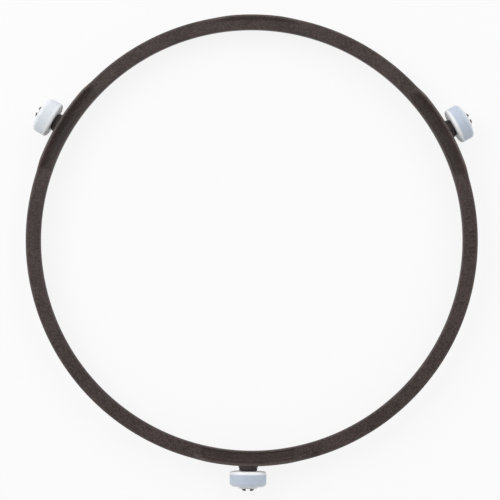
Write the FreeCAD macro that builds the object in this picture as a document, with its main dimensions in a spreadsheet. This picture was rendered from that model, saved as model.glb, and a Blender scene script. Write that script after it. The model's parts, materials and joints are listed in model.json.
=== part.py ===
# Microwave roller ring: one moulded ring with three split snap axles, and a roller on each axle.
# Lengths are in millimetres. The origin is on the ring's axis, on the floor that the rollers stand on.
import FreeCAD, Part
import math
import os
import Sketcher

doc = FreeCAD.newDocument("roller_ring")

# Driving dimensions
DIMENSIONS = {
    # Band: the flat ring, an inverted channel in section whose inner leg is the shorter one
    "ring_diameter": 198.0,
    "band_width": 6.6,
    "band_height": 7.1,
    "band_rise": 2.1,            # top of the band above the axle line
    "inner_leg_height": 2.6,
    "channel_wall": 1.6,
    "channel_draft": 0.15,       # how much each leg thins from its root to its foot
    "top_bevel": 0.6,
    # Axle wall: the raised stretch of the outer edge behind each roller
    "crest_margin": 0.5,         # crest above the top of the shoulder's root
    "wall_foot": 2.2,            # thickness where it leaves the band
    "wall_crest": 1.2,           # thickness at the crest
    "crest_length": 36.0,
    "ramp_length": 5.2,
    "ramp_edge_radius": 3.0,
    "crest_bevel": 0.3,
    # Rear wall: a lower and shorter stretch of the same kind, opposite the front roller
    "rear_rise": 1.3,            # its crest above the band
    "rear_crest_length": 24.0,
    "rear_ramp_length": 7.0,
    # Shallow recess in the band in front of each axle wall
    "recess_length": 43.0,
    "recess_depth": 0.4,
    "recess_lip": 0.9,
    "recess_setback": 0.3,
    # Stub axle with its shoulder and its split snap end
    "shoulder_root_diameter": 9.0,
    "shoulder_diameter": 7.6,
    "shoulder_length": 2.1,
    "axle_diameter": 4.8,
    "slot_width": 1.8,
    "slot_root": 1.6,            # solid length of axle between the shoulder and the slot
    "barb_step": 0.4,
    "barb_length": 0.75,
    "tip_diameter": 4.4,
    # Ribs across the channel behind each axle
    "rib_thickness": 1.2,
    "rib_setback": 0.8,
    # Roller
    "roller_diameter": 16.0,
    "tread_width": 6.7,
    "rim_thickness": 2.3,
    "web_thickness": 1.8,
    "hub_thickness": 1.5,
    "hub_outer_step": 0.8,       # how far the hub stands proud of the rim, on the outer side
    "inner_edge_bevel": 0.8,
    "outer_edge_radius": 1.7,
    # Fits
    "axle_clearance": 0.1,       # between axle and bore, measured on the radius
    "end_play": 0.4,             # free travel of a roller along its axle
}

# The rollers in order round the ring, counter-clockwise seen from above, the first one at the front
ROLLERS = ("front_roller", "right_roller", "left_roller")
FRONT_ANGLE = -90.0
ROLLER_STEP = 360.0 / len(ROLLERS)

# Where the roller's rounded outer edge has its corners, as turns of its arc in degrees
EDGE_TURNS = (0, 45, 90)

# How closely an edge has to match the place where one is looked for
NEAR = 1e-3

sheet = doc.addObject("Spreadsheet::Sheet", "dims")
for row, (alias, size) in enumerate(DIMENSIONS.items(), start=1):
    sheet.set(f"A{row}", alias)
    sheet.set(f"B{row}", str(size))
    sheet.setAlias(f"B{row}", alias)
doc.recompute()

# Places that several features share, as expressions. The ring's heights count from the axle line.
RING_OUT = "dims.ring_diameter / 2"
RING_IN = f"({RING_OUT} - dims.band_width)"
BAND_TOP = "dims.band_rise"
BAND_LOW = "(dims.band_rise - dims.band_height)"
INNER_LOW = "(dims.band_rise - dims.inner_leg_height)"
MID_WALL = "(dims.band_rise - dims.channel_wall / 2)"
CREST = "(dims.shoulder_root_diameter / 2 + dims.crest_margin)"
REAR_CREST = "(dims.band_rise + dims.rear_rise)"
SHOULDER_RADIUS = "dims.shoulder_diameter / 2"
SHOULDER_END = f"({RING_OUT} + dims.shoulder_length)"
AXLE_RADIUS = "dims.axle_diameter / 2"
BORE_RADIUS = f"({AXLE_RADIUS} + dims.axle_clearance)"
HUB_RADIUS = f"({BORE_RADIUS} + dims.hub_thickness)"
TREAD_RADIUS = "dims.roller_diameter / 2"
OUTER_FACE = "dims.tread_width"
HUB_LENGTH = f"({OUTER_FACE} + dims.hub_outer_step)"
BARB_FACE = f"({SHOULDER_END} + dims.end_play + {HUB_LENGTH})"
AXLE_TIP = f"({BARB_FACE} + dims.barb_length)"


def length_of(alias):
    """A driving dimension as a plain number."""
    return float(sheet.get(alias))


def origin_feature(body, role):
    """One of the body's own origin planes or axes."""
    return next(item for item in body.Origin.OriginFeatures if item.Role == role)


def sketch_on(body, name, role):
    """A new sketch on one of the body's origin planes."""
    sketch = body.newObject("Sketcher::SketchObject", name)
    sketch.AttachmentSupport = [(origin_feature(body, role), "")]
    sketch.MapMode = "FlatFace"
    return sketch


def hold(sketch, kind, geometry, end, expression):
    """Tie one coordinate of a point to an expression, measured from the sketch's origin."""
    point = sketch.getPoint(geometry, end)
    present = point.x if kind == "DistanceX" else point.y
    index = sketch.addConstraint(Sketcher.Constraint(kind, -1, 1, geometry, end, present))
    name = f"{kind}_{geometry}_{end}"
    sketch.renameConstraint(index, name)
    sketch.setExpression(f".Constraints.{name}", expression)


def hold_point(sketch, geometry, end, across, up):
    """Tie a point of a sketch to a pair of expressions."""
    hold(sketch, "DistanceX", geometry, end, across)
    hold(sketch, "DistanceY", geometry, end, up)


def draw_outline(sketch, corners):
    """A closed outline of straight lines through corners, each an (across, up) pair of expressions."""
    count = len(corners)
    turn = 2 * math.pi / count
    start = [FreeCAD.Vector(math.cos(turn * i), math.sin(turn * i), 0) for i in range(count)]
    first = sketch.GeometryCount
    for i in range(count):
        sketch.addGeometry(Part.LineSegment(start[i], start[(i + 1) % count]), False)
    for i in range(count):
        following = first + (i + 1) % count
        sketch.addConstraint(Sketcher.Constraint("Coincident", first + i, 2, following, 1))
    for i, (across, up) in enumerate(corners):
        hold_point(sketch, first + i, 1, across, up)


def draw_slot(sketch, root_centre, open_end, half_width):
    """A closed outline along the sketch's X axis, with a half-round root and a square open end."""
    root_top, end_top = FreeCAD.Vector(0, 1, 0), FreeCAD.Vector(2, 1, 0)
    root_low, end_low = FreeCAD.Vector(0, -1, 0), FreeCAD.Vector(2, -1, 0)
    top = sketch.addGeometry(Part.LineSegment(root_top, end_top), False)
    end = sketch.addGeometry(Part.LineSegment(end_top, end_low), False)
    low = sketch.addGeometry(Part.LineSegment(end_low, root_low), False)
    root = sketch.addGeometry(Part.Arc(root_top, FreeCAD.Vector(-1, 0, 0), root_low), False)
    joins = ((top, 2, end, 1), (end, 2, low, 1), (low, 2, root, 2), (root, 1, top, 1))
    for join in joins:
        sketch.addConstraint(Sketcher.Constraint("Coincident", *join))
    hold_point(sketch, top, 1, root_centre, half_width)
    hold_point(sketch, end, 1, open_end, half_width)
    hold_point(sketch, low, 1, open_end, f"-{half_width}")
    hold_point(sketch, low, 2, root_centre, f"-{half_width}")
    hold(sketch, "DistanceX", root, 3, root_centre)


def turned(body, kind, name, sketch, axis, angle=None):
    """A Revolution or Groove about one of the sketch's axes: a full turn, or an arc centred on the sketch."""
    feature = body.newObject(f"PartDesign::{kind}", name)
    feature.Profile = sketch
    feature.ReferenceAxis = (sketch, [axis])
    if angle is None:
        feature.Angle = 360.0
    else:
        feature.Midplane = True
        feature.setExpression("Angle", angle)
    return feature


def extruded(body, kind, name, sketch, length):
    """A Pad or Pocket of a length given by an expression."""
    feature = body.newObject(f"PartDesign::{kind}", name)
    feature.Profile = sketch
    feature.setExpression("Length", length)
    return feature


def softened(body, kind, name, size, wanted):
    """A Fillet or Chamfer of the body's last feature, on every edge that the test picks."""
    doc.recompute()
    base = body.Tip
    picked = [f"Edge{i}" for i, edge in enumerate(base.Shape.Edges, start=1) if wanted(edge)]
    if not picked:
        raise RuntimeError(f"{name} found no edge")
    feature = body.newObject(f"PartDesign::{kind}", name)
    feature.Base = (base, picked)
    feature.setExpression("Radius" if kind == "Fillet" else "Size", f"dims.{size}")
    return feature


def is_circle(edge, radius, axis, place):
    """Whether an edge is an arc of this radius whose centre has this place along the axis."""
    if edge.Curve.TypeId != "Part::GeomCircle":
        return False
    centre = getattr(edge.Curve.Center, axis)
    return abs(edge.Curve.Radius - radius) < NEAR and abs(centre - place) < NEAR


def add_band(body):
    """The band: an inverted channel turned about the ring's axis, with drafted legs and bevelled edges."""
    section = sketch_on(body, "BandSection", "XZ_Plane")
    bevel_foot = "(dims.band_rise - dims.top_bevel)"
    channel_top = "(dims.band_rise - dims.channel_wall)"
    leg_foot = "(dims.channel_wall - dims.channel_draft)"
    draw_outline(section, [
        (RING_IN, INNER_LOW),
        (RING_IN, bevel_foot),
        (f"{RING_IN} + dims.top_bevel", BAND_TOP),
        (f"{RING_OUT} - dims.top_bevel", BAND_TOP),
        (RING_OUT, bevel_foot),
        (RING_OUT, BAND_LOW),
        (f"{RING_OUT} - {leg_foot}", BAND_LOW),
        (f"{RING_OUT} - dims.channel_wall", channel_top),
        (f"{RING_IN} + dims.channel_wall", channel_top),
        (f"{RING_IN} + {leg_foot}", INNER_LOW),
    ])
    turned(body, "Revolution", "Band", section, "V_Axis")


def add_wall(body, name, side, crest, crest_length, ramp_length):
    """A raised wall on the band's outer edge: a drafted section turned through an arc, then ramped ends.

    The side is the sign of the wall's place along the ring's own X axis.
    """
    section = sketch_on(body, f"{name}Section", "XZ_Plane")
    draw_outline(section, [
        (f"{side}({RING_OUT} - dims.wall_foot)", MID_WALL),
        (f"{side}({RING_OUT} - dims.wall_foot)", BAND_TOP),
        (f"{side}({RING_OUT} - dims.wall_crest)", crest),
        (f"{side}({RING_OUT})", crest),
        (f"{side}({RING_OUT})", MID_WALL),
    ])
    ramp_foot = f"({crest_length} / 2 + {ramp_length})"
    spare_arc = "1 deg"
    wall = turned(body, "Revolution", name, section, "V_Axis",
                  f"2 * asin({ramp_foot} / ({RING_OUT})) + {spare_arc}")

    outline = sketch_on(body, f"{name}RampOutline", "YZ_Plane")
    past_wall = f"({ramp_foot} + {ramp_length})"
    above_wall = f"({crest} + dims.crest_margin)"
    for end in ("", "-"):
        draw_outline(outline, [
            (f"{end}{crest_length} / 2", crest),
            (f"{end}{ramp_foot}", BAND_TOP),
            (f"{end}{past_wall}", BAND_TOP),
            (f"{end}{past_wall}", above_wall),
            (f"{end}{crest_length} / 2", above_wall),
        ])
    ramps = extruded(body, "Pocket", f"{name}Ramps", outline, "dims.ring_diameter")
    ramps.Reversed = side == ""
    return [wall, ramps]


def add_recess(body):
    """A shallow recess in the band's top, between a lip at the inner edge and the foot of the wall."""
    section = sketch_on(body, "RecessSection", "XZ_Plane")
    inner_side = f"({RING_IN} + dims.recess_lip)"
    outer_side = f"({RING_OUT} - dims.wall_foot - dims.recess_setback)"
    recess_floor = "(dims.band_rise - dims.recess_depth)"
    draw_outline(section, [
        (inner_side, recess_floor),
        (outer_side, recess_floor),
        (outer_side, CREST),
        (inner_side, CREST),
    ])
    recess = turned(body, "Groove", "Recess", section, "V_Axis",
                    f"2 * asin(dims.recess_length / 2 / ({RING_OUT}))")
    return [recess]


def add_axle(body):
    """A stub axle: tapered shoulder, journal and barbed tip in one turned profile, split by a slot."""
    section = sketch_on(body, "AxleSection", "XZ_Plane")
    axle_root = f"({RING_OUT} - dims.channel_wall / 2)"
    barb_radius = f"({AXLE_RADIUS} + dims.barb_step)"
    draw_outline(section, [
        (axle_root, "0"),
        (axle_root, "dims.shoulder_root_diameter / 2"),
        (SHOULDER_END, SHOULDER_RADIUS),
        (SHOULDER_END, AXLE_RADIUS),
        (BARB_FACE, AXLE_RADIUS),
        (BARB_FACE, barb_radius),
        (AXLE_TIP, "dims.tip_diameter / 2"),
        (AXLE_TIP, "0"),
    ])
    axle = turned(body, "Revolution", "Axle", section, "H_Axis")

    outline = sketch_on(body, "SlotOutline", "XY_Plane")
    root_centre = f"({SHOULDER_END} + dims.slot_root + dims.slot_width / 2)"
    draw_slot(outline, root_centre, f"({AXLE_TIP} + dims.barb_length)", "dims.slot_width / 2")
    slot = extruded(body, "Pocket", "AxleSlot", outline, "dims.shoulder_diameter")
    slot.Midplane = True
    return [axle, slot]


def add_ribs(body):
    """Two gusset ribs across the channel, one behind each side of the shoulder."""
    rib_in = f"({RING_IN} + dims.channel_wall / 2)"
    rib_out = f"({RING_OUT} - dims.channel_wall / 2)"
    starts = (SHOULDER_RADIUS, f"-({SHOULDER_RADIUS} + dims.rib_thickness)")
    ribs = []
    for number, start in enumerate(starts, start=1):
        outline = sketch_on(body, f"Rib{number}Outline", "XZ_Plane")
        outline.setExpression("AttachmentOffset.Base.z", start)
        draw_outline(outline, [
            (rib_in, f"{INNER_LOW} + dims.rib_setback"),
            (rib_in, MID_WALL),
            (rib_out, MID_WALL),
            (rib_out, f"{BAND_LOW} + dims.rib_setback"),
        ])
        ribs.append(extruded(body, "Pad", f"Rib{number}", outline, "dims.rib_thickness"))
    return ribs


def repeat_station(body, station):
    """The whole station at every roller."""
    pattern = body.newObject("PartDesign::PolarPattern", "RollerStations")
    pattern.Originals = station
    pattern.Axis = (origin_feature(body, "Z_Axis"), [""])
    pattern.Angle = 360.0
    pattern.Occurrences = len(ROLLERS)
    body.Tip = pattern


def soften_walls(body):
    """Round the tops of the ramps, then bevel the crests of the walls."""
    ring_out = length_of("ring_diameter") / 2
    crest_sides = (ring_out, ring_out - length_of("wall_crest"))
    crests = (length_of("shoulder_root_diameter") / 2 + length_of("crest_margin"),
              length_of("band_rise") + length_of("rear_rise"))

    def is_ramp_top(edge):
        low = edge.BoundBox.ZMin
        return edge.Curve.TypeId == "Part::GeomLine" and any(abs(low - crest) < NEAR for crest in crests)

    def is_crest_edge(edge):
        return any(is_circle(edge, side, "z", crest) for side in crest_sides for crest in crests)

    softened(body, "Fillet", "RampTops", "ramp_edge_radius", is_ramp_top)
    softened(body, "Chamfer", "CrestEdges", "crest_bevel", is_crest_edge)


def make_ring():
    """The moulded ring. Its own X axis runs along the front axle, and its own height is 0 on that line."""
    body = doc.addObject("PartDesign::Body", "support_ring")
    body.Label = "support_ring"
    add_band(body)
    add_wall(body, "RearWall", "-", REAR_CREST, "dims.rear_crest_length", "dims.rear_ramp_length")
    wall = add_wall(body, "AxleWall", "", CREST, "dims.crest_length", "dims.ramp_length")
    station = wall + add_recess(body) + add_axle(body) + add_ribs(body)
    repeat_station(body, station)
    soften_walls(body)
    body.Placement = FreeCAD.Placement(
        FreeCAD.Vector(), FreeCAD.Rotation(FreeCAD.Vector(0, 0, 1), FRONT_ANGLE))
    body.setExpression("Placement.Base.z", TREAD_RADIUS)
    return body


def make_roller(name, angle):
    """A cup-shaped roller: rim, web on the ring's side and hub in one profile, turned about the axle."""
    body = doc.addObject("PartDesign::Body", name)
    body.Label = name
    section = sketch_on(body, f"{name}_section", "XZ_Plane")
    rim_inside = f"({TREAD_RADIUS} - dims.rim_thickness)"
    edge_arc = [
        (f"{OUTER_FACE} - dims.outer_edge_radius * (1 - sin({turn} deg))",
         f"{TREAD_RADIUS} - dims.outer_edge_radius * (1 - cos({turn} deg))")
        for turn in EDGE_TURNS
    ]
    draw_outline(section, [
        ("0", BORE_RADIUS),
        ("0", f"{TREAD_RADIUS} - dims.inner_edge_bevel"),
        ("dims.inner_edge_bevel", TREAD_RADIUS),
        *edge_arc,
        (OUTER_FACE, rim_inside),
        ("dims.web_thickness", rim_inside),
        ("dims.web_thickness", HUB_RADIUS),
        (HUB_LENGTH, HUB_RADIUS),
        (HUB_LENGTH, BORE_RADIUS),
    ])
    turned(body, "Revolution", f"{name}_blank", section, "H_Axis")

    seat = f"({SHOULDER_END} + dims.end_play / 2)"
    body.Placement = FreeCAD.Placement(
        FreeCAD.Vector(), FreeCAD.Rotation(FreeCAD.Vector(0, 0, 1), angle))
    body.setExpression("Placement.Base.x", f"{seat} * cos({angle} deg)")
    body.setExpression("Placement.Base.y", f"{seat} * sin({angle} deg)")
    body.setExpression("Placement.Base.z", TREAD_RADIUS)
    return body


sub_parts = [make_ring()]
for station, roller_name in enumerate(ROLLERS):
    sub_parts.append(make_roller(roller_name, FRONT_ANGLE + ROLLER_STEP * station))
doc.recompute()

# Every feature has to be sound before anything is written
for item in doc.Objects:
    if "Invalid" in item.State or "Error" in item.State:
        raise RuntimeError(f"{item.Name} failed: {item.getStatusString()}")
for body in sub_parts:
    if body.Shape.isNull() or not body.Shape.isValid() or len(body.Shape.Solids) != 1:
        raise RuntimeError(f"{body.Label} is not one sound solid")

os.makedirs("parts", exist_ok=True)
for body in sub_parts:
    solid = body.Shape.Solids[0]
    solid.exportStep(f"parts/{body.Label}.step")
    centre = solid.CenterOfMass
    print(f"{body.Label}: {solid.Volume:.1f} mm3, centre {centre.x:.2f} {centre.y:.2f} {centre.z:.2f}")
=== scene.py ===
# %% [markdown]
# # The roller ring of a microwave oven
#
# This part lies loose under a microwave oven's glass tray: one dark moulded ring, and three white rollers
# that snap onto its stub axles and run on the oven floor. The measured solids come from the CAD model, so
# this lesson starts by loading them as a fixed frame. They have plain bevels and flat facets. Here the same
# forms are made again with true roundings and real finishes.

# %% Load the measured frame
import json
import math

import bmesh
import bpy
from mathutils import Matrix, Vector


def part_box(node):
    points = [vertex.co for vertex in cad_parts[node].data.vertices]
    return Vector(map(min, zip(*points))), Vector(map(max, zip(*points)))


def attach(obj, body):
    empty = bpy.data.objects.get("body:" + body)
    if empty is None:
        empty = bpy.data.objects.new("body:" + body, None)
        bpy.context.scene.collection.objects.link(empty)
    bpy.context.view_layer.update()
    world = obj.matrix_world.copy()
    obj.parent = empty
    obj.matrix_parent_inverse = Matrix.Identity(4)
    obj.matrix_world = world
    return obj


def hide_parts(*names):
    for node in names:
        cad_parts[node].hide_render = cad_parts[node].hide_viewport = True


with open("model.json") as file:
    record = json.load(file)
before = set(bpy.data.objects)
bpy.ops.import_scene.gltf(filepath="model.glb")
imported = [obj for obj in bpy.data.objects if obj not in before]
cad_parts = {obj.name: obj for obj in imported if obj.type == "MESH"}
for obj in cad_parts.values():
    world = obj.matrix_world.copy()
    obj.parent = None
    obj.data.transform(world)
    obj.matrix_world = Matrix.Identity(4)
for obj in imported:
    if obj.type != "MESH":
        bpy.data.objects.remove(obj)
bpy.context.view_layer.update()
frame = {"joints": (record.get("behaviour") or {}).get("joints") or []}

# %% [markdown]
# ## Sizes that the frame gives
#
# A learner could copy every number from the drawing. It is safer to ask the frame for what it can tell,
# because then the pieces still meet when the drawing changes: the ring's radius, the height of its raised
# walls, the axle line, and where each roller sits. Blender works in metres, so millimetres get a factor.

# %% Ask the frame for the main sizes
MM = 0.001
ring_low, ring_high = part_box("support_ring")
roller_low, roller_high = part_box("front_roller")
RING_RADIUS = ring_high.x
CREST_HEIGHT = ring_high.z
FOOT_HEIGHT = ring_low.z
AXLE_TIP = -ring_low.y
HUB_START = -roller_high.y
HUB_LENGTH = roller_high.y - roller_low.y
ROLLER_RADIUS = (roller_high.z - roller_low.z) / 2
AXLE_HEIGHT = (roller_high.z + roller_low.z) / 2
print("ring radius", round(RING_RADIUS / MM, 2), "axle line", round(AXLE_HEIGHT / MM, 2), "mm")

# %% Find the three roller stations from the joints
STATION_ANGLES = {}
for joint in frame["joints"]:
    STATION_ANGLES[joint["child"]] = math.atan2(joint["axis"][1], joint["axis"][0])
FRONT_ANGLE = STATION_ANGLES["front_roller"]
STATION_COUNT = len(STATION_ANGLES)
print("stations in degrees:", {name: round(math.degrees(turn)) for name, turn in STATION_ANGLES.items()})

# %% [markdown]
# ## Dark brown ring plastic
#
# The ring is moulded from a heat-proof plastic in a dark warm brown. Its mould was lightly blasted, so the
# skin is satin, with a fine mottle of paler and darker spots. One flat colour would look like paint, and a
# picture would need to be wrapped round the ring. Noise on Object coordinates needs neither: it goes through
# the piece as the pigment does, at its true scale. Node trees grow long in a script, so two helpers do the
# usual work: one adds a node with its inputs, and one adds a sum.

# %% Start the ring's finish
def add(tree, kind, inputs=None, **settings):
    """One node in a tree. An input is a number, a word or another node's socket."""
    node = tree.nodes.new(kind)
    for option, value in settings.items():
        setattr(node, option, value)
    for place, value in (inputs or {}).items():
        if isinstance(value, bpy.types.NodeSocket):
            tree.links.new(value, node.inputs[place])
        else:
            node.inputs[place].default_value = value
    return node


def maths(tree, operation, *values, clamp=False):
    """The result socket of one sum."""
    node = add(tree, "ShaderNodeMath", dict(enumerate(values)), operation=operation, use_clamp=clamp)
    return node.outputs[0]


def finish_material(name):
    """A new material: its node tree, its shader and its coordinates in metres."""
    material = bpy.data.materials.new(name)
    material.use_nodes = True
    tree = material.node_tree
    place = add(tree, "ShaderNodeTexCoord").outputs["Object"]
    return material, tree, tree.nodes["Principled BSDF"], place


ring_plastic, tree, shader, place = finish_material("dark_brown_plastic")
print("ring finish starts with", len(tree.nodes), "nodes")

# %% Mottle the brown
RING_BROWN = (0.0090, 0.0040, 0.0032)
RING_BROWN_PALE = (0.076, 0.050, 0.0465)
RING_CLOUD = 14.0
RING_SPECKLE = 0.55
CLOUD_SHARE = 0.3
SPECKLE_SHARE = 1.05
NOISE_LOW, NOISE_HIGH = 0.3, 0.7


def grain(tree, place, size, detail=2.0):
    """Noise whose grains are about this many millimetres across."""
    noise = add(tree, "ShaderNodeTexNoise", {"Vector": place, "Scale": 1 / (size * MM), "Detail": detail})
    return noise.outputs["Fac"]


def between(tree, share, low, high):
    """Stretch a noise, which keeps near its middle of one half, from low to high."""
    stretch = add(tree, "ShaderNodeMapRange", {
        "Value": share, "From Min": NOISE_LOW, "From Max": NOISE_HIGH, "To Min": low, "To Max": high})
    return stretch.outputs["Result"]


def blend_colours(tree, share, first, second):
    """Mix two colours, or a socket and a colour, by a share."""
    mix = tree.nodes.new("ShaderNodeMix")
    mix.data_type = "RGBA"
    tree.links.new(share, mix.inputs["Factor"])
    for socket, colour in ((mix.inputs[6], first), (mix.inputs[7], second)):
        if isinstance(colour, bpy.types.NodeSocket):
            tree.links.new(colour, socket)
        else:
            socket.default_value = (*colour, 1)
    return mix.outputs[2]


cloud = grain(tree, place, RING_CLOUD)
speckle = grain(tree, place, RING_SPECKLE, detail=4.0)
middle_shift = 0.5 - (CLOUD_SHARE + SPECKLE_SHARE) / 2
clouded = maths(tree, "MULTIPLY_ADD", cloud, CLOUD_SHARE, middle_shift)
mottle = maths(tree, "MULTIPLY_ADD", speckle, SPECKLE_SHARE, clouded)
brown = blend_colours(tree, between(tree, mottle, 0.0, 1.0), RING_BROWN, RING_BROWN_PALE)
print("speckles of", RING_SPECKLE, "mm in clouds of", RING_CLOUD, "mm")

# %% [markdown]
# ## Rubbed edges, painted highlight, painted shade and polished axles
#
# Hands and trays rub the ring's raised edges, which turn paler; the same paler colour also paints the
# highlight along the crests and the inner rim, so it is partly wear and partly painted highlight. The
# recesses in front of
# the rollers get painted shade: their colour is darkened where shade falls. The axles are polished so that
# the rollers run easily, which makes them glossier, and their shoulders get painted shade that deepens
# towards the roller, where shade falls in the gap between the ring's wall and the roller. Such places could
# be painted by hand. Here the ring's points will carry two marks, edge and recess_shade, which the finish
# reads, and the painted shade and the polish rise along the shoulder from the ring's outer face.

# %% Rub the edges, paint shade in the recesses and on the shoulders, polish the axles
RING_RUB_AND_SHEEN = (0.112, 0.088, 0.074)
RING_PAINTED_SHADE = (0.013, 0.0075, 0.0065)
RUB_SHEEN_LEAST, RUB_SHEEN_MOST = 0.5, 1.0
HOLLOW_SHADE = 0.28
SHADE_AND_POLISH_RISE = 2.0 * MM

# Paler edges: partly wear from rubbing, partly a painted highlight along the crests and the inner rim.
edge = add(tree, "ShaderNodeAttribute", attribute_name="edge").outputs["Fac"]
rub_and_sheen = maths(tree, "MULTIPLY", edge, between(tree, speckle, RUB_SHEEN_LEAST, RUB_SHEEN_MOST), clamp=True)
brown = blend_colours(tree, rub_and_sheen, brown, RING_RUB_AND_SHEEN)
# Painted shade: the recesses in front of the rollers are darkened where shade falls.
recess_shade = add(tree, "ShaderNodeAttribute", attribute_name="recess_shade").outputs["Fac"]
brown = blend_colours(tree, maths(tree, "MULTIPLY", recess_shade, HOLLOW_SHADE), brown, RING_PAINTED_SHADE)
# Painted shade: the axle shoulders darken towards the roller, where shade falls in the gap; the same mask
# makes them glossier.
level = add(tree, "ShaderNodeVectorMath", {0: place, 1: (1, 1, 0)}, operation="MULTIPLY").outputs[0]
from_axis = add(tree, "ShaderNodeVectorMath", {0: level}, operation="LENGTH").outputs["Value"]
gap_shade_and_polish = add(tree, "ShaderNodeMapRange", {
    "Value": from_axis, "From Min": RING_RADIUS, "From Max": RING_RADIUS + SHADE_AND_POLISH_RISE}).outputs["Result"]
tree.links.new(blend_colours(tree, gap_shade_and_polish, brown, RING_PAINTED_SHADE), shader.inputs["Base Color"])
print("the polish is full at", round((RING_RADIUS + SHADE_AND_POLISH_RISE) / MM, 2), "mm from the axis")

# %% Give the ring its gloss and its skin
RING_DULL_LEAST, RING_DULL_MOST = 0.40, 0.54
POLISH_GLOSS = 0.15
RING_SKIN = 0.28


def add_skin(tree, shader, bumps, strength, depth):
    """Let a fine noise move the surface's normal, as if it stood up by this depth in millimetres."""
    bump = add(tree, "ShaderNodeBump", {"Height": bumps, "Strength": strength, "Distance": depth * MM})
    tree.links.new(bump.outputs["Normal"], shader.inputs["Normal"])


dull = between(tree, speckle, RING_DULL_LEAST, RING_DULL_MOST)
tree.links.new(maths(tree, "MULTIPLY_ADD", gap_shade_and_polish, -POLISH_GLOSS, dull), shader.inputs["Roughness"])
add_skin(tree, shader, grain(tree, place, RING_SKIN, detail=3.0), strength=0.35, depth=0.05)
print("ring finish:", ring_plastic.name, len(tree.nodes), "nodes")

# %% [markdown]
# ## Cool white roller plastic
#
# The rollers are a slippery white plastic with a cool, slightly blue cast. They are smoother than the ring,
# and light goes a little way into them, so their shadows are soft. The tread is made greyer and bluer:
# partly wear from running on the floor, and partly painted shade on the top of the tread, which gets less
# light than its sides. A plain white would do from afar; a faint cloudiness, a fine skin and a mark called
# wear_and_shade, which the rollers' points will carry, keep it from looking like paint.

# %% Mix the rollers' white
ROLLER_WHITE = (0.90, 0.915, 0.93)
ROLLER_CLOUDY = (0.85, 0.88, 0.90)
ROLLER_WORN_AND_SHADED = (0.50, 0.57, 0.68)
ROLLER_CLOUD = 5.0
ROLLER_SPECKLE = 0.6
WEAR_SHADE_LEAST, WEAR_SHADE_MOST = 0.8, 1.0

roller_plastic, tree, shader, place = finish_material("cool_white_plastic")
cloud = grain(tree, place, ROLLER_CLOUD)
speckle = grain(tree, place, ROLLER_SPECKLE, detail=3.0)
white = blend_colours(tree, between(tree, cloud, 0.0, 1.0), ROLLER_CLOUDY, ROLLER_WHITE)
# Greyer, bluer tread: partly wear, partly painted shade on the tread's top.
wear_and_shade = add(tree, "ShaderNodeAttribute", attribute_name="wear_and_shade").outputs["Fac"]
wear_and_shade = maths(tree, "MULTIPLY", wear_and_shade, between(tree, speckle, WEAR_SHADE_LEAST, WEAR_SHADE_MOST), clamp=True)
tree.links.new(blend_colours(tree, wear_and_shade, white, ROLLER_WORN_AND_SHADED), shader.inputs["Base Color"])
print("roller finish has", len(tree.nodes), "nodes so far")

# %% Give the rollers their gloss, skin and depth
ROLLER_DULL_LEAST, ROLLER_DULL_MOST = 0.30, 0.42
ROLLER_SKIN = 0.2
ROLLER_GLOW = 0.15
ROLLER_GLOW_DEPTH = 0.8 * MM

tree.links.new(between(tree, speckle, ROLLER_DULL_LEAST, ROLLER_DULL_MOST), shader.inputs["Roughness"])
add_skin(tree, shader, grain(tree, place, ROLLER_SKIN), strength=0.15, depth=0.03)
shader.inputs["Subsurface Weight"].default_value = ROLLER_GLOW
shader.inputs["Subsurface Radius"].default_value = (1.0, 1.0, 1.0)
shader.inputs["Subsurface Scale"].default_value = ROLLER_GLOW_DEPTH
print("roller finish:", roller_plastic.name, len(tree.nodes), "nodes")

# %% [markdown]
# ## A section with rounded corners
#
# Both the ring and the rollers are turned shapes: one outline, carried round an axis. A mould has no sharp
# corners, because molten plastic doesn't fill them and a sharp corner cracks. A Bevel modifier could round
# the finished mesh, but with one width for all. So each corner of an outline is given with a radius of its
# own, and a short arc takes its place. The corner's part of the moulding is kept with each point, because
# the ring's rule needs it later.

# %% Round the corners of an outline
ARC_STEPS = 4


def rounded(corners):
    """Points (across, up, part) of an outline. A corner is across, up, radius and part, in millimetres."""
    points = []
    for i, (across, up, radius, part) in enumerate(corners):
        here = Vector((across, up))
        if radius == 0:
            points.append((across * MM, up * MM, part))
            continue
        back = (Vector(corners[i - 1][:2]) - here).normalized()
        ahead = (Vector(corners[(i + 1) % len(corners)][:2]) - here).normalized()
        half_angle = back.angle(ahead) / 2
        middle = here + (back + ahead).normalized() * (radius / math.sin(half_angle))
        first = here + back * (radius / math.tan(half_angle)) - middle
        last = here + ahead * (radius / math.tan(half_angle)) - middle
        for step in range(ARC_STEPS + 1):
            point = middle + first.slerp(last, step / ARC_STEPS) * radius
            points.append((point.x * MM, point.y * MM, part))
    return points


print("a rounded corner has", ARC_STEPS + 1, "points")

# %% [markdown]
# ## The band and its raised walls
#
# The ring is a shallow channel, open below, which is light and doesn't warp. Its outer edge rises to a wall
# behind each roller, and once more at the back; in front of each roller the top is slightly sunk. Modelling
# those as separate lumps would leave seams. Instead the section is drawn as it is at a roller, wall and
# all, carried round the circle, and a rule lets the wall and the hollow sink flat away from the stations.

# %% Name the band's sizes
# The sizes of the mouldings are in millimetres, like those of a drawing
BAND_WIDTH = 6.6
BAND_TOP = 10.1
INNER_LEG = 2.6
LEG_WALL = 1.6
LEG_DRAFT = 0.15
WALL_FOOT = 2.2
WALL_CREST = 1.2
RECESS_LIP = 0.9
RECESS_DEPTH = 0.4
RECESS_SLOPE = 0.12
RECESS_SETBACK = 0.3
EDGE_REACH = 1.0  # how far the rubbed edges fade down the faces

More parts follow.
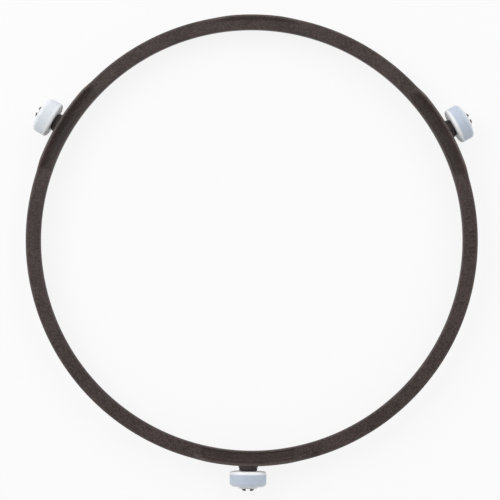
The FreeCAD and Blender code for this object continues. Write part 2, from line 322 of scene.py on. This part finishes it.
out, inside = RING_RADIUS / MM, RING_RADIUS / MM - BAND_WIDTH
crest, foot = CREST_HEIGHT / MM, FOOT_HEIGHT / MM
channel_roof = BAND_TOP - LEG_WALL
inner_foot = BAND_TOP - INNER_LEG
recess_in, recess_out = inside + RECESS_LIP, out - WALL_FOOT - RECESS_SETBACK
recess_floor = BAND_TOP - RECESS_DEPTH
print("the walls rise", round(crest - BAND_TOP, 2), "mm above the band")

# %% Draw the section at a roller station
LEG_ROUNDING = 0.2
RIM_ROUNDING = 0.7
LIP_ROUNDING = 0.12
RECESS_ROUNDING = 0.1
WALL_FOOT_ROUNDING = 0.2
WALL_TOP_ROUNDING = 0.3
CREST_ROUNDING = 0.75
CHANNEL_ROUNDING = 0.5

section = rounded([
    (inside, inner_foot, LEG_ROUNDING, "leg"),
    (inside, BAND_TOP - EDGE_REACH, 0, "leg"),
    (inside, BAND_TOP, RIM_ROUNDING, "rim"),
    (recess_in, BAND_TOP, LIP_ROUNDING, "recess"),
    (recess_in + RECESS_SLOPE, recess_floor, RECESS_ROUNDING, "recess"),
    (recess_out - RECESS_SLOPE, recess_floor, RECESS_ROUNDING, "recess"),
    (recess_out, BAND_TOP, RECESS_ROUNDING, "recess"),
    (out - WALL_FOOT, BAND_TOP, WALL_FOOT_ROUNDING, "wall"),
    (out - WALL_CREST, crest, WALL_TOP_ROUNDING, "wall"),
    (out, crest, CREST_ROUNDING, "crest"),
    (out, crest - EDGE_REACH, 0, "face"),
    (out, foot, LEG_ROUNDING, "leg"),
    (out - LEG_WALL + LEG_DRAFT, foot, LEG_ROUNDING, "leg"),
    (out - LEG_WALL, channel_roof, CHANNEL_ROUNDING, "channel"),
    (inside + LEG_WALL, channel_roof, CHANNEL_ROUNDING, "channel"),
    (inside + LEG_WALL - LEG_DRAFT, inner_foot, LEG_ROUNDING, "leg"),
])
print("section of", len(section), "points")

# %% Keep the section as a line of edges
def outline_object(name, points, closed, marks):
    """An object of edges only. Each point's place, and each further mark, is kept as an attribute."""
    count = len(points)
    edges = [(i, (i + 1) % count) for i in range(count if closed else count - 1)]
    mesh = bpy.data.meshes.new(name)
    mesh.from_pydata([(across, 0, up) for across, up, part in points], edges, [])
    places = {"across": [point[0] for point in points], "up": [point[1] for point in points]}
    for label, values in (places | marks).items():
        mesh.attributes.new(label, "FLOAT", "POINT").data.foreach_set("value", values)
    piece = bpy.data.objects.new(name, mesh)
    bpy.context.scene.collection.objects.link(piece)
    return piece


# Paler edges, partly wear and partly painted highlight: full on the crest, less on the inner rim.
RUB_AND_SHEEN = {"crest": 1.0, "rim": 0.4}
WALL_RISE = crest - BAND_TOP


def raised_share(up, part):
    """How far the rule may lower a point of a wall, in metres: down to the flat band."""
    if part in ("crest", "face"):
        return WALL_RISE * MM
    return up - BAND_TOP * MM if part == "wall" else 0.0


def sunk_share(up, part):
    """How far the rule may lift a point of a recess, in metres: up to the flat band."""
    return BAND_TOP * MM - up if part == "recess" else 0.0


ring = outline_object("support_ring_moulding", section, True, {
    "raised": [raised_share(up, part) for across, up, part in section],
    "sunk": [sunk_share(up, part) for across, up, part in section],
    "edge": [RUB_AND_SHEEN.get(part, 0.0) for across, up, part in section],
})
print("marks on the section:", [item.name for item in ring.data.attributes if item.data_type == "FLOAT"])

# %% [markdown]
# ## The rule that lifts the walls
#
# Each point knows its turn from the front roller. Folding that turn by a third of a circle gives the angle
# to the nearest roller; the wall at the back has its own angle. The distance along the wall then follows,
# and a ramp falls from one to nothing at its end. A smooth minimum rounds the top of the ramp, as the mould
# does. A loop over the points could do the same sums. Geometry Nodes keep them as a tree with named sizes,
# which stays open to change.

# %% Start the ring's tree with its named sizes
def new_tree(name, inputs):
    """A tree with a Shape input and further named inputs. Gives the tree and its sockets by name."""
    tree = bpy.data.node_groups.new(name, "GeometryNodeTree")
    tree.interface.new_socket("Shape", in_out="INPUT", socket_type="NodeSocketGeometry")
    for label, kind in inputs.items():
        tree.interface.new_socket(label, in_out="INPUT", socket_type=kind)
    tree.interface.new_socket("Piece", in_out="OUTPUT", socket_type="NodeSocketGeometry")
    return tree, tree.nodes.new("NodeGroupInput").outputs


def mark(tree, label):
    """The socket of a mark that the points carry."""
    return add(tree, "GeometryNodeInputNamedAttribute", {"Name": label}).outputs["Attribute"]


ring_tree, sizes = new_tree("band_with_walls", {
    "Steps": "NodeSocketInt", "First Angle": "NodeSocketFloat", "Station Step": "NodeSocketFloat",
    "Ramp Foot": "NodeSocketFloat", "Ramp Length": "NodeSocketFloat", "Ramp Rounding": "NodeSocketFloat",
    "Rear Foot": "NodeSocketFloat", "Rear Length": "NodeSocketFloat", "Rear Share": "NodeSocketFloat",
    "Recess Half": "NodeSocketFloat", "Recess End": "NodeSocketFloat", "Finish": "NodeSocketMaterial"})
turn = mark(ring_tree, "turn")
half_step = maths(ring_tree, "DIVIDE", sizes["Station Step"], 2)
folded = maths(ring_tree, "WRAP", turn, half_step, maths(ring_tree, "MULTIPLY", half_step, -1))
to_roller = maths(ring_tree, "ABSOLUTE", folded)
to_back = maths(ring_tree, "ABSOLUTE", maths(ring_tree, "SUBTRACT", turn, math.pi))
print("ring tree starts with", len(ring_tree.nodes), "nodes")

# %% Let the walls come and go
def ramped(tree, to_middle, ramp_foot, ramp_length, rounding):
    """One along a wall's crest and nothing beyond its ramps, by the angle to the wall's middle."""
    along = maths(tree, "MULTIPLY", mark(tree, "across"), maths(tree, "SINE", to_middle))
    fall = maths(tree, "DIVIDE", maths(tree, "SUBTRACT", ramp_foot, along), ramp_length)
    return maths(tree, "MAXIMUM", maths(tree, "SMOOTH_MIN", fall, 1, rounding), 0)


axle_wall = ramped(ring_tree, to_roller, sizes["Ramp Foot"], sizes["Ramp Length"], sizes["Ramp Rounding"])
rear_wall = ramped(ring_tree, to_back, sizes["Rear Foot"], sizes["Rear Length"], sizes["Ramp Rounding"])
near_back = maths(ring_tree, "LESS_THAN", to_back, half_step)
rear_share = maths(ring_tree, "MULTIPLY", near_back, sizes["Rear Share"])
risen = maths(ring_tree, "MAXIMUM", axle_wall, maths(ring_tree, "MULTIPLY", rear_wall, rear_share))
lowered = maths(ring_tree, "MULTIPLY", mark(ring_tree, "raised"), maths(ring_tree, "SUBTRACT", 1, risen))
print("with the walls' rule it has", len(ring_tree.nodes), "nodes")

# %% Let the recesses come and go
along_recess = maths(ring_tree, "MULTIPLY", maths(ring_tree, "SINE", to_roller), RING_RADIUS)
depth = maths(ring_tree, "SUBTRACT", sizes["Recess Half"], along_recess)
depth = maths(ring_tree, "DIVIDE", depth, sizes["Recess End"], clamp=True)
filled = maths(ring_tree, "MULTIPLY", mark(ring_tree, "sunk"), maths(ring_tree, "SUBTRACT", 1, depth))
height = maths(ring_tree, "ADD", maths(ring_tree, "SUBTRACT", mark(ring_tree, "up"), lowered), filled)
print("with the recesses' rule it has", len(ring_tree.nodes), "nodes")

# %% Sweep the section round the circle
def swept(tree, shape, steps):
    """Carry the outline's edges round a circle, with each point's turn kept as a mark."""
    index = add(tree, "GeometryNodeInputIndex").outputs[0]
    turn = maths(tree, "MULTIPLY", maths(tree, "DIVIDE", index, steps), math.tau)
    circle = add(tree, "GeometryNodeCurvePrimitiveCircle", {"Resolution": steps}).outputs["Curve"]
    path = add(tree, "GeometryNodeStoreNamedAttribute", {"Geometry": circle, "Name": "turn", "Value": turn})
    loop = add(tree, "GeometryNodeMeshToCurve", {"Mesh": shape}).outputs["Curve"]
    sheet = add(tree, "GeometryNodeCurveToMesh", {"Curve": path.outputs[0], "Profile Curve": loop})
    return sheet.outputs["Mesh"]


def placed_round(tree, mesh, turn, height):
    """Put every swept point at its distance from the axis, its turn and its height."""
    across = mark(tree, "across")
    spot = add(tree, "ShaderNodeCombineXYZ", {
        "X": maths(tree, "MULTIPLY", across, maths(tree, "COSINE", turn)),
        "Y": maths(tree, "MULTIPLY", across, maths(tree, "SINE", turn)),
        "Z": height}).outputs[0]
    smooth = add(tree, "GeometryNodeSetShadeSmooth", {"Geometry": mesh}).outputs[0]
    return add(tree, "GeometryNodeSetPosition", {"Geometry": smooth, "Position": spot}).outputs[0]


world_turn = maths(ring_tree, "ADD", turn, sizes["First Angle"])
band = placed_round(ring_tree, swept(ring_tree, sizes["Shape"], sizes["Steps"]), world_turn, height)
print("with the sweep it has", len(ring_tree.nodes), "nodes")

# %% Keep where the band gets its rubbed edges and painted highlight, and its painted shade
FLAT_RUB_SHEEN = 0.4


def end_tree(tree, shape, material):
    """The last nodes of every tree: real geometry in place of instances, and its finish."""
    real = add(tree, "GeometryNodeRealizeInstances", {"Geometry": shape}).outputs[0]
    painted = add(tree, "GeometryNodeSetMaterial", {"Geometry": real, "Material": material}).outputs[0]
    add(tree, "NodeGroupOutput", {"Piece": painted})


# Rubbed edges and painted highlight, strongest at the walls; painted shade in the recesses by their depth.
rub_sheen = maths(ring_tree, "MULTIPLY_ADD", risen, 1 - FLAT_RUB_SHEEN, FLAT_RUB_SHEEN)
sunk_now = maths(ring_tree, "MULTIPLY", mark(ring_tree, "sunk"), depth)
kept = {
    "edge": maths(ring_tree, "MULTIPLY", mark(ring_tree, "edge"), rub_sheen),
    "recess_shade": maths(ring_tree, "DIVIDE", sunk_now, RECESS_DEPTH * MM),
}
for label, value in kept.items():
    store = {"Geometry": band, "Name": label, "Value": value}
    band = add(ring_tree, "GeometryNodeStoreNamedAttribute", store).outputs[0]
end_tree(ring_tree, band, sizes["Finish"])
print("marks kept on the band:", list(kept))

# %% [markdown]
# ## From the rule to a mesh
#
# On the real ring, band and walls are one moulding, and axles and ribs grow out of it. To join those later,
# the tree's result has to be a plain mesh. The modifier could be applied by an operator, which needs the
# right object to be active. Asking the evaluated object for its mesh works in any script. The mesh is then
# welded where the sweep closes on itself, and its faces are turned outwards.

# %% Make the band
CREST_LENGTH = 36.0
RAMP_LENGTH = 5.2
RAMP_ROUNDING = 0.2
REAR_CREST_LENGTH = 24.0
REAR_RAMP_LENGTH = 7.0
REAR_RISE = 1.3
RECESS_LENGTH = 43.0
RECESS_END = 0.4
RING_STEPS = 720
WELD = 0.001 * MM


def plain(piece):
    """Replace the piece's mesh by what its modifiers make of it, welded and facing outwards."""
    bpy.context.view_layer.update()
    graph = bpy.context.evaluated_depsgraph_get()
    before = piece.data
    piece.data = bpy.data.meshes.new_from_object(piece.evaluated_get(graph))
    piece.modifiers.clear()
    bpy.data.meshes.remove(before)
    shape = bmesh.new()
    shape.from_mesh(piece.data)
    bmesh.ops.remove_doubles(shape, verts=shape.verts, dist=WELD)
    bmesh.ops.recalc_face_normals(shape, faces=shape.faces)
    shape.to_mesh(piece.data)
    shape.free()


def run(piece, tree, values):
    """Put the tree on the piece, set its inputs, and keep the result."""
    modifier = piece.modifiers.new(tree.name, "NODES")
    modifier.node_group = tree
    for item in tree.interface.items_tree:
        if item.in_out == "INPUT" and item.name in values:
            modifier[item.identifier] = values[item.name]
    plain(piece)


run(ring, ring_tree, {
    "Steps": RING_STEPS, "First Angle": FRONT_ANGLE, "Station Step": math.tau / STATION_COUNT,
    "Ramp Foot": (CREST_LENGTH / 2 + RAMP_LENGTH) * MM, "Ramp Length": RAMP_LENGTH * MM,
    "Ramp Rounding": RAMP_ROUNDING, "Rear Foot": (REAR_CREST_LENGTH / 2 + REAR_RAMP_LENGTH) * MM,
    "Rear Length": REAR_RAMP_LENGTH * MM, "Rear Share": REAR_RISE / WALL_RISE,
    "Recess Half": RECESS_LENGTH / 2 * MM, "Recess End": RECESS_END * MM, "Finish": ring_plastic})
print("band of", len(ring.data.vertices), "points")

# %% Measure the band
def measure(piece):
    """Print how many faces a piece has, whether it is closed, and its volume."""
    shape = bmesh.new()
    shape.from_mesh(piece.data)
    open_edges = sum(not edge.is_manifold for edge in shape.edges)
    volume = shape.calc_volume(signed=True) / MM ** 3
    print(f"{piece.name}: {len(shape.faces)} faces, {open_edges} open edges, {volume:.1f} mm3")
    shape.free()


measure(ring)

# %% [markdown]
# ## Turned pieces on the axle line
#
# An axle and a roller are turned shapes too, but about a lying axis that points out from the ring. A Screw
# modifier could turn them, and copies could be placed by hand. Here one tree turns an outline about its own
# upright axis and lays it down along the axle line, and another sets copies at the stations: three for the
# axles, which belong to the ring, and one at a time for the rollers, because each roller moves by itself.

# %% Build the tree for turned pieces
turned_tree, sizes = new_tree("turned_on_axle", {"Steps": "NodeSocketInt", "Finish": "NodeSocketMaterial"})
blank = swept(turned_tree, sizes["Shape"], sizes["Steps"])
blank = placed_round(turned_tree, blank, mark(turned_tree, "turn"), mark(turned_tree, "up"))
laid = add(turned_tree, "GeometryNodeTransform", {
    "Geometry": blank, "Translation": (0, 0, AXLE_HEIGHT), "Rotation": (0, math.pi / 2, 0)})
end_tree(turned_tree, laid.outputs[0], sizes["Finish"])
print("turning tree has", len(turned_tree.nodes), "nodes")

# %% Build the tree that repeats a shape at the stations
station_tree, sizes = new_tree("at_stations", {
    "Count": "NodeSocketInt", "First Angle": "NodeSocketFloat", "Finish": "NodeSocketMaterial"})
spots = add(station_tree, "GeometryNodeMeshLine", {"Count": sizes["Count"], "Offset": (0, 0, 0)})
index = add(station_tree, "GeometryNodeInputIndex").outputs[0]
step = maths(station_tree, "DIVIDE", math.tau, sizes["Count"])
turn = maths(station_tree, "MULTIPLY_ADD", index, step, sizes["First Angle"])
heading = add(station_tree, "ShaderNodeCombineXYZ", {"Z": turn}).outputs[0]
copies = add(station_tree, "GeometryNodeInstanceOnPoints", {
    "Points": spots.outputs["Mesh"], "Instance": sizes["Shape"], "Rotation": heading})
end_tree(station_tree, copies.outputs["Instances"], sizes["Finish"])
print("station tree has", len(station_tree.nodes), "nodes")

# %% [markdown]
# ## The stub axles
#
# Each axle grows out of the wall as a tapered shoulder, which keeps the roller off the ring. Then comes the
# slim journal that the roller runs on, and a barbed tip. A slot splits the journal into two springy prongs,
# so that the roller can be pushed over the barbs and stays on. The prongs could be modelled one by one.
# Instead the axle is turned as one outline and the slot is cut out of it, as a mould maker would draw it.

# %% Turn the axle
SHOULDER_ROOT = 4.5
SHOULDER = 3.8
SHOULDER_LENGTH = 2.1
JOURNAL = 2.4
BARB = 2.8
BARB_LENGTH = 0.75
TIP = 2.2
SHOULDER_ROUNDING = 0.3
JOURNAL_ROUNDING = 0.15
BARB_FOOT_ROUNDING = 0.1
BARB_ROUNDING = 0.12
TIP_ROUNDING = 0.3
AXLE_STEPS = 64

tip = AXLE_TIP / MM
axle_root = out - LEG_WALL / 2
shoulder_end = out + SHOULDER_LENGTH
barb_face = tip - BARB_LENGTH
axle = outline_object("axle", rounded([
    (0, axle_root, 0, "root"),
    (SHOULDER_ROOT, axle_root, 0, "root"),
    (SHOULDER, shoulder_end, SHOULDER_ROUNDING, "shoulder"),
    (JOURNAL, shoulder_end, JOURNAL_ROUNDING, "shoulder"),
    (JOURNAL, barb_face, BARB_FOOT_ROUNDING, "journal"),
    (BARB, barb_face, BARB_ROUNDING, "barb"),
    (TIP, tip, TIP_ROUNDING, "barb"),
    (0, tip, 0, "barb"),
]), False, {})
run(axle, turned_tree, {"Steps": AXLE_STEPS, "Finish": ring_plastic})
measure(axle)

# %% Make the shape of the slot
SLOT_HALF = 0.9
SLOT_ROOT = 1.6
SLOT_ARC_STEPS = 12


def prism(name, outline, high):
    """A closed upright prism from an outline of (x, y, low) points, in millimetres, up to one height."""
    shape = bmesh.new()
    base = shape.faces.new([shape.verts.new((x * MM, y * MM, low * MM)) for x, y, low in outline])
    top = bmesh.ops.extrude_face_region(shape, geom=[base])
    for part in top["geom"]:
        if isinstance(part, bmesh.types.BMVert):
            part.co.z = high * MM
    bmesh.ops.recalc_face_normals(shape, faces=shape.faces)
    mesh = bpy.data.meshes.new(name)
    shape.to_mesh(mesh)
    shape.free()
    piece = bpy.data.objects.new(name, mesh)
    bpy.context.scene.collection.objects.link(piece)
    return piece


axle_line = AXLE_HEIGHT / MM
slot_low, slot_high = axle_line - SHOULDER, axle_line + SHOULDER
slot_end = tip + BARB_LENGTH
root_middle = shoulder_end + SLOT_ROOT + SLOT_HALF
slot_outline = [(slot_end, -SLOT_HALF, slot_low), (slot_end, SLOT_HALF, slot_low)]
for step in range(SLOT_ARC_STEPS + 1):
    swing = math.pi / 2 + math.pi * step / SLOT_ARC_STEPS
    slot_outline.append((
        root_middle + SLOT_HALF * math.cos(swing), SLOT_HALF * math.sin(swing), slot_low))
slot = prism("slot", slot_outline, slot_high)
measure(slot)

# %% Split the axle into two prongs
def carve(piece, tool, operation):
    """Join the tool to the piece or cut it out, and remove the tool."""
    modifier = piece.modifiers.new(operation, "BOOLEAN")
    modifier.operation = operation
    modifier.solver = "EXACT"
    modifier.object = tool
    plain(piece)
    bpy.data.objects.remove(tool)


carve(axle, slot, "DIFFERENCE")
measure(axle)

# %% [markdown]
# ## Ribs in the channel
#
# The roller's load tries to tilt the axle, so two small ribs cross the channel behind each shoulder. They
# could be cut to fit between the legs. It is simpler to let them reach into the plastic round them and to
# join all by a Boolean, which drops what lies inside and leaves one closed skin, as on the real moulding.

# %% Make a rib on each side behind the shoulder
RIB_THICKNESS = 1.2
RIB_SETBACK = 0.8

rib_in, rib_out = inside + LEG_WALL / 2, out - LEG_WALL / 2
low_in, low_out = inner_foot + RIB_SETBACK, foot + RIB_SETBACK
ribs = []
for side in (-1, 1):
    near, far = side * SHOULDER, side * (SHOULDER + RIB_THICKNESS)
    rib_outline = [
        (rib_in, near, low_in), (rib_out, near, low_out), (rib_out, far, low_out), (rib_in, far, low_in)]
    ribs.append(prism(f"rib_{side}", rib_outline, BAND_TOP - LEG_WALL / 2))
print("ribs at each station:", len(ribs))

# %% Join axles and ribs to the band
for part in (axle, *ribs):
    run(part, station_tree, {"Count": STATION_COUNT, "First Angle": FRONT_ANGLE, "Finish": ring_plastic})
    carve(ring, part, "UNION")
measure(ring)

# %% [markdown]
# ## The rollers
#
# A roller is a small cup: a rim that runs on the floor, a web on the ring's side, and a hub round the axle
# that reaches through to the outer side. Its edges are well rounded, so that it doesn't scratch the oven
# floor. A cylinder with cuts would do, but the mould forms the roller as one turned piece, and so does this
# outline. A mark says where the roller is made greyer and bluer: on the tread, and round the outer edge. It
# is partly wear, as the outer edge runs on the larger circle and scrubs along the floor, and partly painted
# shade on the tread. One roller gets less of it than the others, so it looks paler.

# %% Draw the roller's outline
HUB_OUTER_STEP = 0.8
RIM_THICKNESS = 2.3
WEB_THICKNESS = 1.8
HUB_RADIUS = 4.0
BORE_RADIUS = 2.5
OUTER_ROUNDING = 1.7
INNER_ROUNDING = 1.1
CUP_ROUNDING = 0.4
CUP_EDGE_ROUNDING = 0.3
HUB_ROUNDING = 0.2
BORE_ROUNDING = 0.15
INNER_FADE = 0.5  # how far the wear and painted shade fade along the tread's inner end

hub_start = HUB_START / MM
hub_end = hub_start + HUB_LENGTH / MM
web_out, face_out = hub_start + WEB_THICKNESS, hub_end - HUB_OUTER_STEP
tread = ROLLER_RADIUS / MM
tread_start = hub_start + INNER_ROUNDING
roller_section = rounded([
    (BORE_RADIUS, hub_start, BORE_ROUNDING, "hub"),
    (tread, hub_start, INNER_ROUNDING, "rim"),
    (tread, tread_start + INNER_FADE, 0, "rim"),
    (tread, face_out, OUTER_ROUNDING, "rim"),
    (tread - RIM_THICKNESS, face_out, CUP_EDGE_ROUNDING, "rim"),
    (tread - RIM_THICKNESS, web_out, CUP_ROUNDING, "cup"),
    (HUB_RADIUS, web_out, CUP_ROUNDING, "cup"),
    (HUB_RADIUS, hub_end, HUB_ROUNDING, "hub"),
    (BORE_RADIUS, hub_end, BORE_ROUNDING, "hub"),
])
print("roller outline of", len(roller_section), "points")

# %% Turn the rollers
ROLLER_STEPS = 128
OUTER_WEAR_AND_SHADE = 1.2
# Wear and painted shade per roller: the left roller gets less, so it looks paler.
WEAR_AND_SHADE = {"front_roller": 1.0, "right_roller": 1.0, "left_roller": 0.4}


def wear_and_shade_share(across, up):
    """One on the tread. It fades at the tread's inner end, and by its depth round the outer edge."""
    from_inner = (up / MM - tread_start) / INNER_FADE
    from_outer = 1 - (tread - across / MM) / OUTER_WEAR_AND_SHADE
    return max(0.0, min(1.0, from_inner, from_outer))


rollers = {}
for body, angle in STATION_ANGLES.items():
    roller_wear_and_shade = [WEAR_AND_SHADE[body] * wear_and_shade_share(across, up) for across, up, part in roller_section]
    roller = outline_object(f"{body}_moulding", roller_section, True, {"wear_and_shade": roller_wear_and_shade})
    run(roller, turned_tree, {"Steps": ROLLER_STEPS, "Finish": roller_plastic})
    run(roller, station_tree, {"Count": 1, "First Angle": angle, "Finish": roller_plastic})
    measure(roller)
    rollers[body] = roller

# %% [markdown]
# ## Shading and riding
#
# On the real mouldings the roundings catch the light smoothly and the flat faces look flat. Smooth shading
# alone would bend the light on flat faces, and flat shading would show every facet. So edges sharper than a
# limit are marked sharp, and the Weighted Normal modifier lets the large faces decide at the rest. Then each
# piece is fixed to the body it moves with, and the CAD node it stands for is hidden.

# %% Shade, ride and replace
SHARP_ANGLE = math.radians(40)
WORKING_MARKS = ("across", "up", "raised", "sunk", "turn")


def finish_piece(piece, body, node, material):
    """Shade a piece, clear its working marks, and fix it to its body."""
    piece.data.materials.clear()
    piece.data.materials.append(material)
    for label in WORKING_MARKS:
        if label in piece.data.attributes:
            piece.data.attributes.remove(piece.data.attributes[label])
    piece.data.shade_smooth()
    piece.data.set_sharp_from_angle(angle=SHARP_ANGLE)
    weighted = piece.modifiers.new("weighted", "WEIGHTED_NORMAL")
    weighted.keep_sharp = True
    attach(piece, body)
    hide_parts(node)


finish_piece(ring, "ring", "support_ring", ring_plastic)
for body, roller in rollers.items():
    finish_piece(roller, body, body, roller_plastic)

# %% [markdown]
# ## The floor
#
# The photograph shows the ring on white. A strong lamp could bleach the floor, but it would bleach the
# rollers as well. So the floor is a plain pale grey that keeps the soft shadow, and only to the camera and
# in reflections is it lifted most of the way to white.

# %% Lay the floor
FLOOR_HALF = 1.5
FLOOR_WHITE = (0.85, 0.85, 0.85, 1)
FLOOR_ROUGHNESS = 0.9
FLOOR_SPECULAR = 0.1
FLOOR_LIFT = 0.85

floor_mesh = bpy.data.meshes.new("floor")
corners = [(-FLOOR_HALF, -FLOOR_HALF, 0), (FLOOR_HALF, -FLOOR_HALF, 0),
           (FLOOR_HALF, FLOOR_HALF, 0), (-FLOOR_HALF, FLOOR_HALF, 0)]
floor_mesh.from_pydata(corners, [], [(0, 1, 2, 3)])
floor = bpy.data.objects.new("floor", floor_mesh)
bpy.context.scene.collection.objects.link(floor)
floor_paint, tree, shader, place = finish_material("pale_floor")
shader.inputs["Base Color"].default_value = FLOOR_WHITE
shader.inputs["Roughness"].default_value = FLOOR_ROUGHNESS
shader.inputs["Specular IOR Level"].default_value = FLOOR_SPECULAR
white_light = add(tree, "ShaderNodeEmission", {"Strength": 1.0}).outputs[0]
ray = add(tree, "ShaderNodeLightPath").outputs
mirrored = maths(tree, "MAXIMUM", ray["Is Glossy Ray"], ray["Is Transmission Ray"])
seen = maths(tree, "MAXIMUM", ray["Is Camera Ray"], mirrored)
lift = add(tree, "ShaderNodeMixShader", {
    0: maths(tree, "MULTIPLY", seen, FLOOR_LIFT), 1: shader.outputs[0], 2: white_light})
tree.links.new(lift.outputs[0], tree.nodes["Material Output"].inputs["Surface"])
floor_mesh.materials.append(floor_paint)
print("floor of", 2 * FLOOR_HALF, "m")

# %% [markdown]
# ## The light
#
# The light of the photograph is that of a white tent: its walls are bright, a little more so at the rear,
# and its top, where the camera looks in, is darker. So upright faces are brighter than level ones. A ring
# of lamps could imitate that. A world whose strength follows the direction does it with three numbers, and
# two soft lamps beyond the rear left and the rear right make those sides a little lighter. Seen directly,
# the tent is as pale as the far end of the floor, so no line shows where they meet.

# %% Light the tent
SKY_SIDES = 1.05
SKY_TOP = 0.3
SKY_REAR_SHARE = 0.2
SKY_SEEN = 0.93

scene = bpy.context.scene
scene.view_settings.view_transform = "Standard"
world = bpy.data.worlds.new("white_studio")
scene.world = world
world.use_nodes = True
tree = world.node_tree
heading = add(tree, "ShaderNodeTexCoord").outputs["Generated"]
heading = add(tree, "ShaderNodeSeparateXYZ", {"Vector": heading}).outputs
sky = add(tree, "ShaderNodeMapRange", {"Value": heading["Z"], "To Min": SKY_SIDES, "To Max": SKY_TOP})
from_rear = maths(tree, "MULTIPLY_ADD", heading["Y"], SKY_REAR_SHARE, 1.0)
sky = maths(tree, "MULTIPLY", sky.outputs["Result"], from_rear)
ray = add(tree, "ShaderNodeLightPath").outputs["Is Camera Ray"]
strength = add(tree, "ShaderNodeMapRange", {"Value": ray, "To Min": sky, "To Max": SKY_SEEN})
tree.nodes["Background"].inputs["Color"].default_value = (1, 1, 1, 1)
tree.links.new(strength.outputs["Result"], tree.nodes["Background"].inputs["Strength"])
print("tent strength from", SKY_TOP, "at the top to", SKY_SIDES, "at the sides")

# %% Hang two soft lamps
LAMP_SIDE = 0.7
LAMPS = {
    "rear_left": {"spot": (-0.65, 0.35, 0.72), "watts": 4.2},
    "rear_right": {"spot": (0.60, 0.50, 0.80), "watts": 2.5},
}

for name, facts in LAMPS.items():
    data = bpy.data.lights.new(name, "AREA")
    data.shape = "SQUARE"
    data.size = LAMP_SIDE
    data.energy = facts["watts"]
    lamp = bpy.data.objects.new(name, data)
    scene.collection.objects.link(lamp)
    lamp.location = facts["spot"]
    lamp.rotation_euler = (-Vector(facts["spot"])).to_track_quat("-Z", "Y").to_euler()
print("lamps:", list(LAMPS))

# %% [markdown]
# ## The camera
#
# The photograph looks almost straight down. How far it doesn't can be read from the ring: the raised walls
# stand out further at the two side rollers than at the front one, which a small tilt explains. The camera
# could be aimed by a constraint. A chain of a shift, a tilt and a roll gives the view in one line, with each
# of them named.

# %% Set the camera
CAMERA_DISTANCE = 0.80
CAMERA_TILT = math.radians(3.7)
CAMERA_ROLL = math.radians(0.9)
CAMERA_AIM = Vector((-0.0007, -0.0049, AXLE_HEIGHT))
CAMERA_LENS = 131.4
CAMERA_SENSOR = 36.0

camera_data = bpy.data.cameras.new("camera")
camera_data.sensor_width = CAMERA_SENSOR
camera_data.lens = CAMERA_LENS
camera = bpy.data.objects.new("camera", camera_data)
scene.collection.objects.link(camera)
aim_turn = Matrix.Rotation(CAMERA_TILT, 4, "X") @ Matrix.Rotation(CAMERA_ROLL, 4, "Z")
step_back = Matrix.Translation((0, 0, CAMERA_DISTANCE))
camera.matrix_world = Matrix.Translation(CAMERA_AIM) @ aim_turn @ step_back
scene.camera = camera
print("camera stands at", [round(value, 3) for value in camera.matrix_world.translation])
